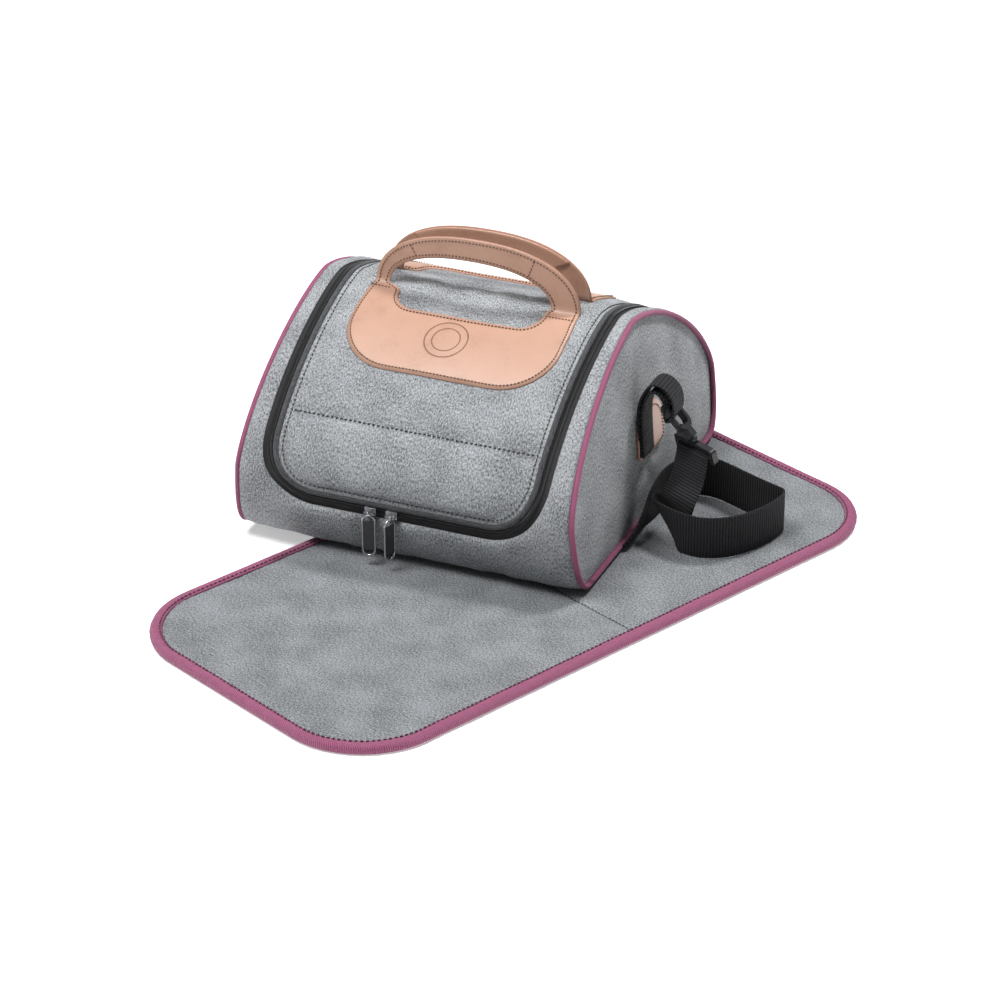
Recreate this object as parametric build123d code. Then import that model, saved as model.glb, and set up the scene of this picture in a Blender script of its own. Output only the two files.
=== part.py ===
"""Insulated baby bag with carry handles and shoulder strap, standing on its changing mat.

Frame: millimetres, +Z up, z = 0 is the floor under the mat.  The origin is under the middle of the
bag's base.  +X runs along the bag to the strap end, -Y is the side with the zip pullers.
"""
from build123d import *
import os
from math import copysign, cos, hypot, radians, sin, tan

os.makedirs("parts", exist_ok=True)

# Changing mat: a long padded sheet, edged with binding tape, stitched across the middle to fold.
MAT_LENGTH = 600.0
MAT_WIDTH = 300.0
MAT_CORNER = 75.0
MAT_CENTRE = (82.0, -130.0)
MAT_TURN = 65.2
MAT_BACKING = 0.8
MAT_PADDING = 5.6
MAT_FACE = 0.8
BINDING_WIDTH = 11.0
BINDING_TAPE = 0.8

# Bag body: a tunnel-shaped section along X, closed by two end panels that lean inwards.
BAG_LENGTH = 303.0
BAG_HALF_DEPTH = 168.0
BASE_HALF_DEPTH = 140.0
BASE_Z = 9.8
SHOULDER_Z = 70.0
CROWN_Z = 185.0
CROWN_POWER = 1.5
SIDE_POWER = 2.6
END_LEAN = {-1: 0.05, 1: 0.11}
FABRIC = 1.4
FOAM = 5.0
FOIL = 0.8
PIPING_RADIUS = 2.4

# Lid: a flap inside a U-shaped zip that starts and ends at the back and hinges there.
LID_CENTRE_X = -4.0
ZIP_HALF_WIDTH = 121.0
ZIP_BOTTOM_Z = 56.0
ZIP_CORNER = 45.0
HINGE_Z = 118.0
TAPE_HALF = 9.0
COIL_HALF = 2.3
WELT_EDGE = 7.0
COIL_RISE = 0.6
WELT_RISE = 0.9
FABRIC_LAP = 6.5
FOAM_LAP = 9.3
SEAM_GAP = 0.3
COIL_GAP = 0.2
LID_SEAM = 0.4
EDGING_SEAM = 2.2
BOARD_SIZE = (276.0, 268.0, 3.0)
BOARD_GAP = 0.3

# Leather patches and the upright handles cut to match them.
LEATHER = 2.0
PATCH_HALF = 95.0
PATCH_FAR_Y = 92.0
PATCH_NEAR_Y = 9.0
PATCH_CORNER = 42.0
CUTOUT_HALF = 64.0
CUTOUT_FAR_Y = 38.0
CUTOUT_CORNER = 18.0
HANDLE_Y = 13.0
HANDLE_HALF = 93.0
HANDLE_HEIGHT = 53.0
HANDLE_BAND = 21.0
HANDLE_GAP = 2.0
PAD_HALF = 58.0

# Zip sliders and pullers.
SLIDER_X = {"left": -28.0, "right": -9.0}
SLIDER_SIZE = (10.0, 2.4, 7.0)
SLIDER_LIFT = 1.3
CROWN_BAR = (9.0, 0.8, 0.8)
CROWN_LEG = (1.2, 5.0, 0.8)
CROWN_LEG_X = 3.9
CROWN_REACH = 4.7
LINK_RADIUS = 2.6
LINK_WIRE = 0.5
LINK_DROP = 1.4
LINK_TURN = {"left": 90.0, "right": 120.0}
PULLER_DROP = 2.5
PULLER_STEP = {"left": 0.0, "right": 0.5}
PULLER_INSERT = 1.4
PULLER_WIRE = 0.8
PULLER_LENGTH = 38.0
PULLER_WIDTH = 12.0
PULLER_TWIST = {"left": 12.0, "right": 65.0}

# Webbing tab, its leather patch and the snap hook on each end panel.
TAB_WIDTH = 25.0
TAB_THICK = 1.8
TAB_Y = {-1: 10.0, 1: -14.0}
TAB_REACH = {-1: 22.0, 1: 31.0}
TAB_STAND_OFF = 0.7
TAB_PATCH_SIZE = (58.0, 44.0)
TAB_PATCH_CORNER = 20.0
TAB_PATCH_Z = 66.0
TAB_BEND_Z = 118.0
HOOK_RING = (22.0, 28.0, 8.0)
HOOK_EYE = (14.0, 20.0, 5.0)
HOOK_RING_DROP = 9.0
HOOK_STEM = 8.0
HOOK_HALF_THICK = 3.0
GATE_X = -9.0
GATE_DROP = 12.0
GATE_SLOT = (5.0, 12.0)
GATE_SIZE = (11.4, 2.6)
GATE_HALF_THICK = 2.4
BAR_FRAME = (47.0, 15.0, 3.0)
BAR_SLOT = (40.0, 6.5, 1.5)
BAR_FRAME_RISE = 2.5
BAR_HALF_THICK = 2.6
SWIVEL_BALL = 3.6
SWIVEL_DROP = 1.5
STRAP_WIDTH = 38.0
STRAP_THICK = 1.6


def sign_power(value, power):
    """Signed power, for points on a superellipse."""
    return copysign(abs(value) ** power, value)


def section_point(turn):
    """Point (y, z) on the bag's section: turn -90..270 degrees, 0 at the front shoulder."""
    side, rise = -cos(radians(turn)), sin(radians(turn))
    if rise >= 0:
        power = 2 / CROWN_POWER
        return (BAG_HALF_DEPTH * sign_power(side, power),
                SHOULDER_Z + (CROWN_Z - SHOULDER_Z) * sign_power(rise, power))
    power = 2 / SIDE_POWER
    edge = BAG_HALF_DEPTH - BASE_HALF_DEPTH
    return (copysign(BASE_HALF_DEPTH, side) + edge * sign_power(side, power),
            SHOULDER_Z + (SHOULDER_Z - BASE_Z) * sign_power(rise, power))


def inset_point(turn, depth):
    """Point of the section moved inwards by depth along the local normal."""
    step = 0.05
    before, after = section_point(turn - step), section_point(turn + step)
    along = (after[0] - before[0], after[1] - before[1])
    size = hypot(*along)
    y, z = section_point(turn)
    return (y + along[1] / size * depth, z - along[0] / size * depth)


def section_wire(depth):
    """Closed outline of the bag's section, depth inside its outer surface."""
    turns = [-84, -66, -45, -25, -8] + [6 + 12 * i for i in range(15)] + [188, 205, 225, 246, 264]
    outline = [(-BASE_HALF_DEPTH, BASE_Z + depth)]
    outline += [inset_point(turn, depth) for turn in turns]
    outline += [(BASE_HALF_DEPTH, BASE_Z + depth)]
    points = [Vector(0, y, z) for y, z in outline]
    arch = Edge.make_spline(points)
    return Wire([arch, Edge.make_line(points[-1], points[0])])


def prism(depth):
    """The bag's section, depth inside its outer surface, as a long bar along X."""
    face = Face(section_wire(depth))
    reach = BAG_LENGTH / 2 + 20
    return Solid.extrude(face.moved(Location((-reach, 0, 0))), Vector(2 * reach, 0, 0))


def end_x(side, inset, z):
    """X of an end panel's plane, inset from its outer face, at height z."""
    return side * (BAG_LENGTH / 2 - inset - END_LEAN[side] * (z - BASE_Z))


def slab(left, right):
    """Block between two leaning end planes, each given as (side, inset)."""
    low, high = -40.0, 260.0
    corners = [(end_x(*left, low), low), (end_x(*right, low), low),
               (end_x(*right, high), high), (end_x(*left, high), high)]
    face = Face(Wire.make_polygon([Vector(x, -220, z) for x, z in corners], close=True))
    return Solid.extrude(face, Vector(0, 440, 0))


def end_layer(side, outer, inner):
    """Block for one layer of an end panel, between two insets from its outer face."""
    planes = [(side, outer), (side, inner)]
    return slab(*(planes if side < 0 else planes[::-1]))


def shell(outer, inner, ends):
    """Layer of the wrap between two depths, stopping short of both end planes by ends."""
    return (prism(outer) - prism(inner)) & slab((-1, ends), (1, ends))


def lid_zone(grow, seam=0.0):
    """Everything inside the zip's U, grown sideways by grow; the back edge is the hinge line."""
    half, top = ZIP_HALF_WIDTH + grow, 260.0
    bottom = ZIP_BOTTOM_Z - grow
    front = Pos(LID_CENTRE_X, -110, (top + bottom) / 2) * Box(2 * half, 220, top - bottom)
    corners = front.edges().filter_by(Axis.Y).group_by(Axis.Z)[0]
    front = fillet(corners, ZIP_CORNER + grow)
    back_low = HINGE_Z + seam
    back = Pos(LID_CENTRE_X, 110, (top + back_low) / 2) * Box(2 * half, 220, top - back_low)
    return front + back


def rounded_path(points, closed=False):
    """Wire of straight runs joined by tangent arcs, each as large as its two runs allow."""
    places = [Vector(*point) for point in points]
    count = len(places)
    radii = []
    for i in range(count) if closed else range(1, count - 1):
        before, after = places[i] - places[i - 1], places[(i + 1) % count] - places[i]
        half_turn = radians(before.get_angle(after)) / 2
        radii.append(0.45 * min(before.length, after.length) / tan(half_turn))
    return FilletPolyline(*places, radius=radii, close=closed).wire()


def tube(path, radius):
    """Round bar along a path."""
    return sweep(Plane(origin=path @ 0, z_dir=path % 0) * Circle(radius), path=path)


def band(path, width_dir, width, thick):
    """Flat band along a path, its width lying along width_dir at the start."""
    start = Plane(origin=path @ 0, x_dir=width_dir, z_dir=path % 0)
    return sweep(start * Rectangle(width, thick), path=path)


def rim_points(side):
    """Hand-spaced corners of the piping's loop on an end panel."""
    points = []
    for turn in (-89, -64, -40, -16, 4, 20, 38, 56, 73, 90, 107, 124, 142, 160, 176, 196, 220, 244, 269):
        y, z = inset_point(turn, PIPING_RADIUS - 0.4)
        points.append((end_x(side, -PIPING_RADIUS - 0.1, z), y, z))
    return points


def save(shape, node):
    """Write one sub-part to its own STEP file."""
    solids = shape.solids()
    export_step(solids[0] if len(solids) == 1 else Compound(children=list(solids)), f"parts/{node}.step")


# ---------------------------------------------------------------- changing mat
def mat_plate(inset, low, high):
    """Round-cornered plate of the mat's outline, inset from its edge."""
    outline = RectangleRounded(MAT_LENGTH - 2 * inset, MAT_WIDTH - 2 * inset, MAT_CORNER - inset)
    plate = Solid.extrude(outline.face(), Vector(0, 0, high - low))
    return Pos(*MAT_CENTRE, low) * Rot(0, 0, MAT_TURN) * plate


MAT_TOP = MAT_BACKING + MAT_PADDING + MAT_FACE
padding = mat_plate(BINDING_TAPE, MAT_BACKING, MAT_BACKING + MAT_PADDING)
binding = mat_plate(0, 0, MAT_TOP) - mat_plate(BINDING_WIDTH, -1, MAT_TOP + 1) - padding
save(padding, "mat_padding")
save(binding, "mat_binding")
save(mat_plate(BINDING_WIDTH, 0, MAT_BACKING), "mat_backing")
save(mat_plate(BINDING_WIDTH, MAT_BACKING + MAT_PADDING, MAT_TOP), "mat_face")

# ---------------------------------------------------------------- bag body
foam_in = FABRIC + FOAM
foil_in = foam_in + FOIL
save(shell(0, FABRIC, FABRIC) - lid_zone(FABRIC_LAP), "wrap_fabric")
save(shell(FABRIC, foam_in, foam_in) - lid_zone(FOAM_LAP), "wrap_foam")
save(shell(foam_in, foil_in, foil_in) - lid_zone(FOAM_LAP), "wrap_lining")
for side, name in ((-1, "left"), (1, "right")):
    save(prism(0) & end_layer(side, 0, FABRIC), f"end_fabric_{name}")
    save(prism(FABRIC) & end_layer(side, FABRIC, foam_in), f"end_foam_{name}")
    save(prism(foam_in) & end_layer(side, foam_in, foil_in), f"end_lining_{name}")
    # piping cord: a round bead lying on the rim of the end panel
    rim = rounded_path(rim_points(side), closed=True)
    save(tube(rim, PIPING_RADIUS), f"piping_{name}")
board_z = BASE_Z + foil_in + BOARD_GAP + BOARD_SIZE[2] / 2
save(Pos(0, 0, board_z) * Box(*BOARD_SIZE), "base_board")

# ---------------------------------------------------------------- zip and lid


def zip_strip(outer_depth, inner_depth, near, far, seam=0.0):
    """Strip of the wrap along the zip, between two distances from the zip's middle line."""
    zones = lid_zone(max(near, far), seam) - lid_zone(min(near, far), seam)
    return shell(outer_depth, inner_depth, foil_in) & zones


save(zip_strip(FABRIC, FABRIC + FOIL, SEAM_GAP, TAPE_HALF), "zip_tape_body")
save(zip_strip(FABRIC, FABRIC + FOIL, -SEAM_GAP, -TAPE_HALF, LID_SEAM), "zip_tape_lid")
save(zip_strip(-COIL_RISE, FABRIC, COIL_GAP, COIL_HALF), "zip_coil_body")
save(zip_strip(-COIL_RISE, FABRIC, -COIL_GAP, -COIL_HALF, EDGING_SEAM), "zip_coil_lid")
save(zip_strip(-WELT_RISE, FABRIC, -COIL_HALF - COIL_GAP, -WELT_EDGE, EDGING_SEAM), "lid_welt")
save(shell(0, FABRIC, foil_in) & lid_zone(-WELT_EDGE - COIL_GAP / 2, LID_SEAM), "lid_fabric")
save(shell(FABRIC, foam_in, foil_in) & lid_zone(-TAPE_HALF - SEAM_GAP, LID_SEAM), "lid_foam")
save(shell(foam_in, foil_in, foil_in) & lid_zone(-TAPE_HALF - SEAM_GAP, LID_SEAM), "lid_lining")

# ---------------------------------------------------------------- leather patches and handles
def patch(toward):
    """U-shaped leather patch on the lid's slope: toward is -1 at the front, +1 at the back."""
    depth = PATCH_FAR_Y - PATCH_NEAR_Y
    outline = Pos(LID_CENTRE_X + 3, toward * (PATCH_NEAR_Y + depth / 2), 150) * Box(2 * PATCH_HALF, depth, 120)
    edges = outline.edges().filter_by(Axis.Z).sort_by(Axis.Y)
    outline = fillet(edges[:2] if toward < 0 else edges[2:], PATCH_CORNER)
    cut = CUTOUT_FAR_Y - PATCH_NEAR_Y + 20
    window = Pos(LID_CENTRE_X + 3, toward * (CUTOUT_FAR_Y - cut / 2), 150) * Box(2 * CUTOUT_HALF, cut, 140)
    edges = window.edges().filter_by(Axis.Z).sort_by(Axis.Y)
    window = fillet(edges[:2] if toward < 0 else edges[2:], CUTOUT_CORNER)
    return shell(-LEATHER, 0, foil_in) & (outline - window)


def handle_arch(half, height, y_low, y_high, base):
    """Upright plate in the shape of the handle's half ellipse, between two Y planes."""
    plate = extrude(Plane.XZ * Ellipse(half, height), y_low - y_high)
    plate &= Pos(0, 0, height) * Box(4 * half, 40, 2 * height)
    return Pos(LID_CENTRE_X + 4, y_low, base) * plate


crown_y = HANDLE_Y
crown = SHOULDER_Z + (CROWN_Z - SHOULDER_Z) * (1 - (crown_y / BAG_HALF_DEPTH) ** CROWN_POWER) ** (1 / CROWN_POWER)
handle_base = crown + LEATHER + HANDLE_GAP
print("handle hinge height", round(handle_base, 2))
for toward, name in ((-1, "front"), (1, "back")):
    save(patch(toward), f"patch_{name}")
    y_mid = toward * HANDLE_Y
    arch = handle_arch(HANDLE_HALF, HANDLE_HEIGHT, y_mid - 1.2, y_mid + 1.2, handle_base)
    arch -= handle_arch(HANDLE_HALF - HANDLE_BAND, HANDLE_HEIGHT - HANDLE_BAND, y_mid - 3, y_mid + 3, handle_base)
    save(arch, f"handle_{name}")
    pad_y = (y_mid + 1.2, y_mid + 2.8) if toward < 0 else (y_mid - 2.8, y_mid - 1.2)
    pad = handle_arch(HANDLE_HALF - 1, HANDLE_HEIGHT - 1, *pad_y, handle_base)
    pad -= handle_arch(HANDLE_HALF - HANDLE_BAND + 1, HANDLE_HEIGHT - HANDLE_BAND + 1, y_mid - 4, y_mid + 4, handle_base)
    pad &= Pos(LID_CENTRE_X + 4, y_mid, handle_base + 60) * Box(2 * PAD_HALF, 10, 100)
    save(pad, f"handle_pad_{name}")

# ---------------------------------------------------------------- zip sliders and pullers
rise = (SHOULDER_Z - ZIP_BOTTOM_Z) / (SHOULDER_Z - BASE_Z)
edge_share = (1 - rise ** SIDE_POWER) ** (1 / SIDE_POWER)
zip_y = -(BASE_HALF_DEPTH + (BAG_HALF_DEPTH - BASE_HALF_DEPTH) * edge_share)
plate_y = zip_y - SLIDER_LIFT - SLIDER_SIZE[1] / 2
crown_bar_y = plate_y - CROWN_REACH
half_loop = PULLER_WIDTH / 2 - PULLER_WIRE
loop_low = 2 * PULLER_WIRE + half_loop - PULLER_LENGTH
side_length = -(loop_low + half_loop)
side_middle = (loop_low - half_loop) / 2
print("zip front y", round(zip_y, 2), "crown bar y", round(crown_bar_y, 2))
for name, x in SLIDER_X.items():
    plate = Pos(x, plate_y, ZIP_BOTTOM_Z) * Box(*SLIDER_SIZE)
    bar = Pos(x, crown_bar_y, ZIP_BOTTOM_Z) * Box(*CROWN_BAR)
    leg_y = (crown_bar_y + plate_y) / 2
    legs = [Pos(x + dx, leg_y, ZIP_BOTTOM_Z) * Box(*CROWN_LEG) for dx in (-CROWN_LEG_X, CROWN_LEG_X)]
    save(plate + bar + legs, f"slider_{name}")
    ring = Rot(0, 0, LINK_TURN[name]) * Rot(90, 0, 0) * Torus(LINK_RADIUS, LINK_WIRE)
    save(Pos(x, crown_bar_y, ZIP_BOTTOM_Z - LINK_DROP) * ring, f"puller_link_{name}")
    hang = Pos(x, crown_bar_y - PULLER_STEP[name], ZIP_BOTTOM_Z - PULLER_DROP) * Rot(0, 0, PULLER_TWIST[name])
    sides = [Pos(dx, 0, side_middle) * Cylinder(PULLER_WIRE, side_length) for dx in (-half_loop, half_loop)]
    full_ring = Rot(90, 0, 0) * Torus(half_loop, PULLER_WIRE)
    cutter = Box(4 * PULLER_WIDTH, PULLER_WIDTH, 2 * PULLER_WIDTH)
    top_bend = Pos(0, 0, -half_loop) * (full_ring & Pos(0, 0, PULLER_WIDTH) * cutter)
    low_bend = Pos(0, 0, loop_low) * (full_ring & Pos(0, 0, -PULLER_WIDTH) * cutter)
    save(hang * (top_bend + sides + low_bend), f"puller_{name}")
    insert = Pos(0, 0, side_middle) * Box(2 * (half_loop - PULLER_WIRE), PULLER_INSERT, side_length)
    save(hang * insert, f"puller_insert_{name}")

# ---------------------------------------------------------------- webbing tabs and snap hooks
def frame_at(origin, up, across):
    """Plane whose y is up and whose x is the part of across square to it."""
    up = Vector(*up).normalized()
    across = Vector(*across)
    across = (across - up * across.dot(up)).normalized()
    return Plane(origin=Vector(*origin), x_dir=across, z_dir=across.cross(up))


HOOKS = {
    "right": {"side": 1, "eye": (173.5, -14.5, 118), "joint": (196, -16.6, 95.4), "bar": (198, -13, 82),
              "bar_dir": (0.88, -0.47, 0.0)},
    "left": {"side": -1, "eye": (-168.2, 10, 116.8), "joint": (-181.6, 10, 87.8), "bar": (-184, 10, 74),
             "bar_dir": (0.0, 1.0, 0.0)},
}
for name, hook in HOOKS.items():
    side = hook["side"]
    y_tab, lean, reach = TAB_Y[side], END_LEAN[side], TAB_REACH[side]
    width, height = TAB_PATCH_SIZE
    base_plane = Plane(origin=(end_x(side, -0.05, TAB_PATCH_Z), y_tab, TAB_PATCH_Z), x_dir=(0, 1, 0),
                       z_dir=(side * cos(lean), 0, sin(lean)))
    outline = Pos(0, side * height / 2) * Rectangle(width, height)
    top_corners = outline.vertices().group_by(Axis.Y)[-1 if side > 0 else 0]
    outline = fillet(top_corners, TAB_PATCH_CORNER)
    save(extrude(base_plane * outline, LEATHER), f"tab_patch_{name}")
    # the loop rises along the patch, turns over through the hook's eye and comes back under itself
    off_panel = -LEATHER - TAB_THICK / 2 - TAB_STAND_OFF
    low_x, bend_x = end_x(side, off_panel, TAB_PATCH_Z), end_x(side, off_panel, TAB_BEND_Z)
    foot_z = TAB_PATCH_Z + 6
    loop = [(low_x, y_tab, foot_z), (bend_x, y_tab, 122), (bend_x + side * reach * 0.42, y_tab, 141),
            (bend_x + side * reach, y_tab, 127), (bend_x + side * reach * 0.75, y_tab, 104),
            (low_x + side * 4.0, y_tab, 84), (low_x + side * 2.4, y_tab, foot_z)]
    save(band(rounded_path(loop), (0, 1, 0), TAB_WIDTH, TAB_THICK), f"tab_loop_{name}")

    eye, joint, bar = Vector(*hook["eye"]), Vector(*hook["joint"]), Vector(*hook["bar"])
    reach_up = (eye - joint).length
    upper = frame_at(hook["joint"], tuple(eye - joint), (0, 1, 0))
    ring = Pos(0, reach_up - HOOK_RING_DROP) * (RectangleRounded(*HOOK_RING) - RectangleRounded(*HOOK_EYE))
    stem_top = reach_up - HOOK_RING_DROP - HOOK_EYE[1] / 2 - 1.5
    stem = Pos(0, (stem_top + 1.0) / 2) * Rectangle(HOOK_STEM, stem_top - 1.0)
    gate_gap = Pos(GATE_X, reach_up - GATE_DROP) * Rectangle(*GATE_SLOT)
    hook_plate = extrude(upper * (ring + stem - gate_gap), HOOK_HALF_THICK, both=True)
    save(hook_plate, f"hook_{name}")
    gate = Pos(GATE_X, reach_up - GATE_DROP) * Rot(0, 0, 90) * SlotOverall(*GATE_SIZE)
    save(extrude(upper * gate, GATE_HALF_THICK, both=True), f"hook_gate_{name}")
    pivot = upper.from_local_coords(Vector(GATE_X, reach_up - GATE_DROP - (GATE_SIZE[0] - GATE_SIZE[1]) / 2, 0))
    print(f"gate {name} pivot", [round(v, 2) for v in pivot], "axis", [round(v, 4) for v in upper.z_dir])

    up = (joint - bar).normalized()
    across = Vector(*hook["bar_dir"])
    lower = Plane(origin=hook["bar"], x_dir=across, z_dir=across.cross(up))
    frame_plate = Pos(0, BAR_FRAME_RISE) * (RectangleRounded(*BAR_FRAME) - RectangleRounded(*BAR_SLOT))
    base = extrude(lower * frame_plate, BAR_HALF_THICK, both=True)
    ball = Pos(*(joint - up * SWIVEL_DROP)) * Sphere(SWIVEL_BALL)
    save(base + (ball - hook_plate), f"hook_base_{name}")

# ---------------------------------------------------------------- shoulder strap, lying free
STRAP_PIECES = {
    # hanging from the right hook's bar to the top of the loop that stands on the mat
    "strap_drop_right": ([(198, -15.5, 73.5), (196.5, -30, 62), (193.5, -46, 48.6)], (0.88, -0.47, 0.0)),
    # loop standing on its edge on the mat, then back along the end panel
    "strap_loop_right": ([(178, -42, 27), (199, -56, 27), (222, -58, 27), (243, -47, 27), (257, -28, 27),
                          (265, -7, 27), (262, 13, 27), (243, 25, 27), (219, 36, 27), (193, 46, 27),
                          (171, 41, 27), (161, 22, 27), (159.2, -1, 27), (160.5, -22, 27)], (0, 0, 1)),
    # flat under the bag, from the right end to the back
    "strap_under": ([(168, -64, 8.5), (112, -14, 8.5), (58, 40, 8.5), (4, 92, 8.5), (-46, 140, 8.5),
                     (-88, 184, 8.5)], None),
    # slack standing on its edge behind the bag, then forward along the left end
    "strap_behind": ([(-92, 190, 19.4), (-96, 216, 19.4), (-112, 240, 19.4), (-138, 252, 19.4),
                      (-165, 246, 19.4), (-182, 222, 19.4), (-188, 190, 19.4), (-190, 150, 19.4),
                      (-188, 110, 19.4), (-187, 70, 19.4), (-186, 32, 19.4)], (0, 0, 1)),
    # up to the left hook's bar
    "strap_drop_left": ([(-185.6, 11, 39.4), (-185, 10, 53), (-184.4, 10, 67.4)], (0, 1, 0)),
}
total = 0.0
for node, (route, width_dir) in STRAP_PIECES.items():
    path = rounded_path(route)
    flat = path % 0
    ribbon = band(path, width_dir or Vector(-flat.Y, flat.X, 0), STRAP_WIDTH, STRAP_THICK)
    total += path.length
    radii = [round(edge.radius, 1) for edge in path.edges() if edge.geom_type == GeomType.CIRCLE]
    print(node, "length", round(path.length), "smallest radius", min(radii, default=None))
    save(ribbon, node)
print("strap laid out", round(total))
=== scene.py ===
"""Soft baby changing bag standing on its padded mat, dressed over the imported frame.

Metres, +Z up.  The bag's front, with the zip pullers, faces -Y, and its strap end is +X.
"""

from math import cos, pi, sin

import bmesh
import bpy
import numpy as np
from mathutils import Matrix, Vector, noise


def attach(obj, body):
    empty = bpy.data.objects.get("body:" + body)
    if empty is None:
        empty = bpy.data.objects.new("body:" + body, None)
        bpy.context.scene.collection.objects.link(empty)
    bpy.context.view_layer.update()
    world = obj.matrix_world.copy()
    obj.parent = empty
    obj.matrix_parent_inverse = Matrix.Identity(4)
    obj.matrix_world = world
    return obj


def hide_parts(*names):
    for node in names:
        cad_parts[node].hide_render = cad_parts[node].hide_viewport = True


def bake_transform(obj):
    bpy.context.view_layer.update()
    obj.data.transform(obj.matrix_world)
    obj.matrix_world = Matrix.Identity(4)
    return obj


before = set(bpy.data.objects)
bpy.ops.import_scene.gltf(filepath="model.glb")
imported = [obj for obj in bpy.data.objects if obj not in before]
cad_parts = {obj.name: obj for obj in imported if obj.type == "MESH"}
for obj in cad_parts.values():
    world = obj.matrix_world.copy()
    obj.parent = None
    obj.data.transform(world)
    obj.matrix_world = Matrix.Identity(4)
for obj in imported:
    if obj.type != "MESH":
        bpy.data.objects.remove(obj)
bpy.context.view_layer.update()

# ---------------------------------------------------------------- camera
# A long lens a little above the bag and to its right, so that the front, the right end and the whole
# mat show with almost parallel edges.
VIEW_TURN, VIEW_LIFT, VIEW_DISTANCE = 0.3976, 0.4901, 2.8744
VIEW_AIM = Vector((0.0653, -0.1190, 0.0600))
away = Vector((sin(VIEW_TURN) * cos(VIEW_LIFT), -cos(VIEW_TURN) * cos(VIEW_LIFT), sin(VIEW_LIFT)))
camera = bpy.data.objects.new("studio_camera", bpy.data.cameras.new("studio_camera"))
camera.data.lens, camera.data.sensor_width = 126.0, 36.0
camera.location = VIEW_AIM + away * VIEW_DISTANCE
camera.rotation_euler = away.to_track_quat("Z", "Y").to_euler()
bpy.context.collection.objects.link(camera)
bpy.context.scene.camera = camera


# ---------------------------------------------------------------- shoulder strap
# Black polypropylene webbing, 38 mm wide, hooked to both end tabs. It hangs from the right hook, folds
# over and stands on its edge on the mat, runs back along the end panel and lies under the bag; its slack
# stands on edge behind the bag and comes forward to the left hook.
class Strand:
    """A shader socket that Python sums add Math nodes to."""

    def __init__(self, finish, socket):
        self.finish, self.socket = finish, socket

    def maths(self, operation, *values):
        return self.finish.node("ShaderNodeMath", {"operation": operation}, dict(enumerate(values)))

    def __add__(self, other):
        return self.maths("ADD", self, other)

    def __sub__(self, other):
        return self.maths("SUBTRACT", self, other)

    def __rsub__(self, other):
        return self.maths("SUBTRACT", other, self)

    def __mul__(self, other):
        return self.maths("MULTIPLY", self, other)

    def __pow__(self, other):
        return self.maths("POWER", self, other)

    def __abs__(self):
        return self.maths("ABSOLUTE", self)

    __radd__, __rmul__ = __add__, __mul__


class Finish:
    """A finish: fixed values set on its shader, and nodes for what changes over the surface."""

    def __init__(self, name, colour, **fixed):
        self.material = bpy.data.materials.new(name)
        self.material.use_nodes = True
        self.material.diffuse_color = (*colour, 1)
        self.tree = self.material.node_tree
        self.shader = self.tree.nodes["Principled BSDF"]
        self.set("Base Color", (*colour, 1))
        for socket, value in fixed.items():
            self.set(socket.replace("_", " "), value)

    def set(self, socket, value):
        self.feed(self.shader.inputs[socket], value)

    def feed(self, socket, value):
        if isinstance(value, Strand):
            self.tree.links.new(value.socket, socket)
        else:
            socket.default_value = value

    def node(self, kind, settings=None, sockets=None, output=0):
        """Adds a node of this type, gives it its settings and then its sockets' values or links."""
        made = self.tree.nodes.new(kind)
        for name, value in (settings or {}).items():
            if name == "stops":
                while len(made.color_ramp.elements) < len(value):
                    made.color_ramp.elements.new(1.0)
                for element, (place, colour) in zip(made.color_ramp.elements, value):
                    element.position, element.color = place, (*colour, 1)
            else:
                setattr(made, name, value)
        for name, value in (sockets or {}).items():
            self.feed(made.inputs[name], value)
        return Strand(self, made.outputs[output])

    def cloth(self, *scale):
        """Place on the cloth, in metres times scale, as the piece's lay says."""
        lay = self.node("ShaderNodeAttribute", {"attribute_name": "lay"}, output=1)
        return self.node("ShaderNodeVectorMath", {"operation": "MULTIPLY"}, {0: lay, 1: scale})

    def noise(self, scale, detail, stretch=(1, 1, 1), **more):
        """Random 0 to 1 over the cloth, with humps about 1 / scale metres across."""
        return self.node("ShaderNodeTexNoise", sockets={
            "Vector": self.cloth(*stretch), "Scale": scale, "Detail": detail, **more})

    def shade(self, amount, *stops):
        """Colours the surface from a ramp, by an amount from 0 to 1."""
        self.set("Base Color", self.node("ShaderNodeValToRGB", {"stops": stops}, {"Fac": amount}))

    def ridge(self, relief, depth):
        """Raises the surface by relief times depth metres."""
        self.set("Normal", self.node("ShaderNodeBump", sockets={
            "Height": relief, "Distance": depth, "Strength": 1.0}))

    def waves(self, line, pitch):
        """0 to 1 and back along one coordinate of the cloth, one wave every pitch metres."""
        return self.node("ShaderNodeMath", {"operation": "SINE"}, {0: line * (2 * pi / pitch)}) * 0.5 + 0.5


def cloth_lines(finish):
    """The two coordinates of the cloth, each on its own."""
    spot = finish.cloth(1, 1, 1)
    return [finish.node("ShaderNodeSeparateXYZ", sockets={0: spot}, output=k) for k in (0, 1)]


def black_webbing(name, rib):
    """Ribbed webbing: heavy ribs across it, fine threads along it, a little lint."""
    finish = Finish(name, (0.012, 0.012, 0.014), Roughness=0.8, Specular_IOR_Level=0.25,
                    Sheen_Weight=0.04, Sheen_Roughness=0.5)
    along, across = cloth_lines(finish)
    ribs = finish.waves(along, rib)
    threads = finish.waves(across, 0.0011)
    lint = finish.noise(900.0, 3.0)
    finish.shade(ribs * 0.5 + threads * 0.2 + lint * 0.6, (0.25, (0.0015, 0.0015, 0.002)),
                 (0.7, (0.008, 0.008, 0.010)), (1.0, (0.030, 0.030, 0.034)))
    finish.ridge(ribs + threads * 0.35 + lint * 0.3, 0.0007)
    return finish


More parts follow.
